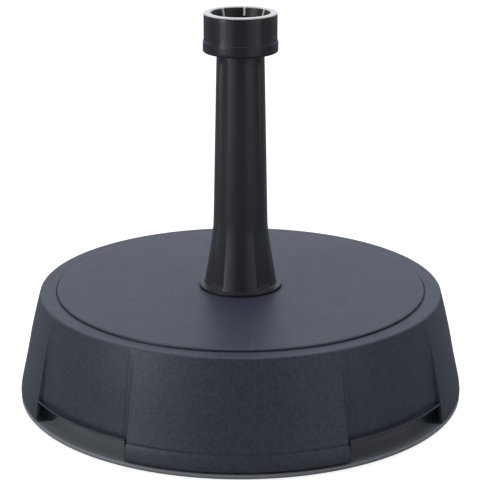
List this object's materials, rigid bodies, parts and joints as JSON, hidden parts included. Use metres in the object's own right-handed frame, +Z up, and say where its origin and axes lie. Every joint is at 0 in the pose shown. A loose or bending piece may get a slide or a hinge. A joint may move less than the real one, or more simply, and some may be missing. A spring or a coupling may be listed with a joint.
{
  "type": "parasol base",
  "caption": "Round concrete-weighted parasol base with a moulded shell, recessed hand grips, a fluted stem and a screw-down collet clamp for the pole.",
  "frame": {"origin": "centre of the footprint, on the ground under the rubber pads", "axes": "+Z up along the pole axis; the four hand grips lie at 45 degrees to X and Y, and the four plain lobes of the skirt face +X, +Y, -X and -Y"},
  "size_m": [0.4488, 0.4488, 0.392],
  "materials": {
    "shell_plastic": "matte",
    "tray_plastic": "satin",
    "stem_plastic": "satin",
    "nut_plastic": "satin",
    "collet_plastic": "satin",
    "glide_plastic": "satin",
    "socket_plastic": "matte",
    "rubber": "matte",
    "concrete": "matte",
    "zinc_steel": "satin",
    "brass": "satin"
  },
  "bodies": {
    "base": {"base_tray": "tray_plastic", "foot_pads": "rubber", "ballast_block": "concrete", "pole_socket_tube": "socket_plastic", "pole_stop": "rubber", "top_cover": "shell_plastic", "cover_screws": "zinc_steel", "stem_gasket": "rubber", "stem": "stem_plastic", "thread_inserts": "brass", "stem_bolts": "zinc_steel", "bolt_washers": "zinc_steel", "collet_ring": "collet_plastic"},
    "glide_ring": {"glide_ring": "glide_plastic"},
    "clamp_nut": {"clamp_nut": "nut_plastic"},
    "collet_finger_1": {"collet_finger_1": "collet_plastic"},
    "collet_finger_2": {"collet_finger_2": "collet_plastic"},
    "collet_finger_3": {"collet_finger_3": "collet_plastic"},
    "collet_finger_4": {"collet_finger_4": "collet_plastic"},
    "collet_finger_5": {"collet_finger_5": "collet_plastic"},
    "collet_finger_6": {"collet_finger_6": "collet_plastic"},
    "collet_finger_7": {"collet_finger_7": "collet_plastic"},
    "collet_finger_8": {"collet_finger_8": "collet_plastic"}
  },
  "joints": [
    {"name": "glide_slide", "type": "slide", "parent": "base", "child": "glide_ring", "axis": [0, 0, 1], "range_m": [-0.004, 0]},
    {"name": "nut_turn", "type": "hinge", "parent": "glide_ring", "child": "clamp_nut", "pos_m": [0, 0, 0.372], "axis": [0, 0, 1], "range_deg": [-360, 0]},
    {"name": "finger_1_flex", "type": "hinge", "parent": "base", "child": "collet_finger_1", "pos_m": [-0.00665, 0.02399, 0.36], "axis": [0.9636, 0.2672, 0], "range_deg": [0, 3.5]},
    {"name": "finger_2_flex", "type": "hinge", "parent": "base", "child": "collet_finger_2", "pos_m": [-0.02167, 0.01226, 0.36], "axis": [0.4924, 0.8704, 0], "range_deg": [0, 3.5]},
    {"name": "finger_3_flex", "type": "hinge", "parent": "base", "child": "collet_finger_3", "pos_m": [-0.02399, -0.00665, 0.36], "axis": [-0.2672, 0.9636, 0], "range_deg": [0, 3.5]},
    {"name": "finger_4_flex", "type": "hinge", "parent": "base", "child": "collet_finger_4", "pos_m": [-0.01226, -0.02167, 0.36], "axis": [-0.8704, 0.4924, 0], "range_deg": [0, 3.5]},
    {"name": "finger_5_flex", "type": "hinge", "parent": "base", "child": "collet_finger_5", "pos_m": [0.00665, -0.02399, 0.36], "axis": [-0.9636, -0.2672, 0], "range_deg": [0, 3.5]},
    {"name": "finger_6_flex", "type": "hinge", "parent": "base", "child": "collet_finger_6", "pos_m": [0.02167, -0.01226, 0.36], "axis": [-0.4924, -0.8704, 0], "range_deg": [0, 3.5]},
    {"name": "finger_7_flex", "type": "hinge", "parent": "base", "child": "collet_finger_7", "pos_m": [0.02399, 0.00665, 0.36], "axis": [0.2672, -0.9636, 0], "range_deg": [0, 3.5]},
    {"name": "finger_8_flex", "type": "hinge", "parent": "base", "child": "collet_finger_8", "pos_m": [0.01226, 0.02167, 0.36], "axis": [0.8704, -0.4924, 0], "range_deg": [0, 3.5]}
  ],
  "couplings": [
    {"joint": "glide_slide", "follows": "nut_turn", "m_per_rad": 0.00063662},
    {"joint": "finger_1_flex", "follows": "nut_turn", "ratio": -0.0097222},
    {"joint": "finger_2_flex", "follows": "nut_turn", "ratio": -0.0097222},
    {"joint": "finger_3_flex", "follows": "nut_turn", "ratio": -0.0097222},
    {"joint": "finger_4_flex", "follows": "nut_turn", "ratio": -0.0097222},
    {"joint": "finger_5_flex", "follows": "nut_turn", "ratio": -0.0097222},
    {"joint": "finger_6_flex", "follows": "nut_turn", "ratio": -0.0097222},
    {"joint": "finger_7_flex", "follows": "nut_turn", "ratio": -0.0097222},
    {"joint": "finger_8_flex", "follows": "nut_turn", "ratio": -0.0097222}
  ]
}
